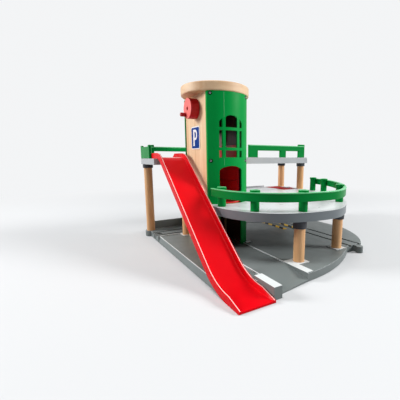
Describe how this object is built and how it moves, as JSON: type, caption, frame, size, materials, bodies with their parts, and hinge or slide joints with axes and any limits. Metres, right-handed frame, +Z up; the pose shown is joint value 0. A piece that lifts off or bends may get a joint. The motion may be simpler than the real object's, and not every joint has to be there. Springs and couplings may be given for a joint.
{
  "type": "toy parking garage",
  "caption": "Toy parking garage: wooden lift tower with crank, curved mid deck with trapdoor and rail, upper deck on posts, a ramp and a base with track lanes.",
  "frame": {"origin": "middle of the footprint's bounding box, on the floor", "axes": "+Z up, -Y to the front where the ramp and the exit lane end, +X to the right along the decks"},
  "size_m": [0.403, 0.401, 0.3],
  "materials": {
    "wood": "satin beech",
    "green_plastic": "gloss",
    "grey_plastic": "satin",
    "red_plastic": "gloss",
    "steel": "bright",
    "sign_blue": "printed",
    "cord": "braided"
  },
  "bodies": {
    "garage": {"tower_side_left": "wood", "tower_side_right": "wood", "tower_back": "wood", "tower_lintel": "wood", "roof": "wood", "guide_rail_left": "wood", "guide_rail_right": "wood", "post_front_left": "wood", "post_front_right": "wood", "post_tower": "wood", "post_left": "wood", "post_back_lower": "wood", "post_right_lower": "wood", "post_back_upper": "wood", "post_right_upper": "wood", "tower_front": "green_plastic", "door_frame": "green_plastic", "mid_rail": "green_plastic", "upper_rail_right": "green_plastic", "upper_rail_left": "green_plastic", "upper_end_panel": "green_plastic", "base": "grey_plastic", "mid_deck": "grey_plastic", "upper_deck": "grey_plastic", "front_screw_upper_left": "steel", "front_screw_upper_right": "steel", "front_screw_lower_left": "steel", "front_screw_lower_right": "steel", "pulley_pin": "steel", "trapdoor_pin": "steel", "lever_pin": "steel", "ramp": "red_plastic", "sign_plate": "sign_blue", "lift_cord": "cord"},
    "crank": {"crank_wheel": "red_plastic", "crank_knob": "red_plastic", "crank_axle": "steel", "drive_pulley": "red_plastic"},
    "lower_wheel": {"lower_pulley": "red_plastic"},
    "lift": {"lift_car": "red_plastic", "lift_shoe_lower_left": "red_plastic", "lift_shoe_upper_left": "red_plastic", "lift_shoe_lower_right": "red_plastic", "lift_shoe_upper_right": "red_plastic", "cord_clamp": "steel"},
    "trapdoor": {"trapdoor": "red_plastic"},
    "lever": {"release_lever": "red_plastic"}
  },
  "joints": [
    {"name": "lift_travel", "type": "slide", "parent": "garage", "child": "lift", "axis": [0, 0, 1], "range_m": [-0.08, 0.08]},
    {"name": "crank_turn", "type": "hinge", "parent": "garage", "child": "crank", "pos_m": [-0.1445, 0.045, 0.26], "axis": [1, 0, 0], "range_deg": [-504, 504]},
    {"name": "lower_pulley_turn", "type": "hinge", "parent": "garage", "child": "lower_wheel", "pos_m": [-0.123, 0.045, 0.026], "axis": [1, 0, 0], "range_deg": [-504, 504]},
    {"name": "trapdoor_hinge", "type": "hinge", "parent": "garage", "child": "trapdoor", "pos_m": [0.1735, 0.1515, 0.0865], "axis": [0, -1, 0], "range_deg": [0, 50]},
    {"name": "lever_press", "type": "hinge", "parent": "garage", "child": "lever", "pos_m": [0.19, 0.1485, 0.087], "axis": [0, 1, 0], "range_deg": [0, 12]}
  ],
  "couplings": [
    {"joint": "crank_turn", "follows": "lift_travel", "rad_per_m": -109.89},
    {"joint": "lower_pulley_turn", "follows": "lift_travel", "rad_per_m": -109.89},
    {"joint": "lever_press", "follows": "trapdoor_hinge", "ratio": 0.24}
  ]
}
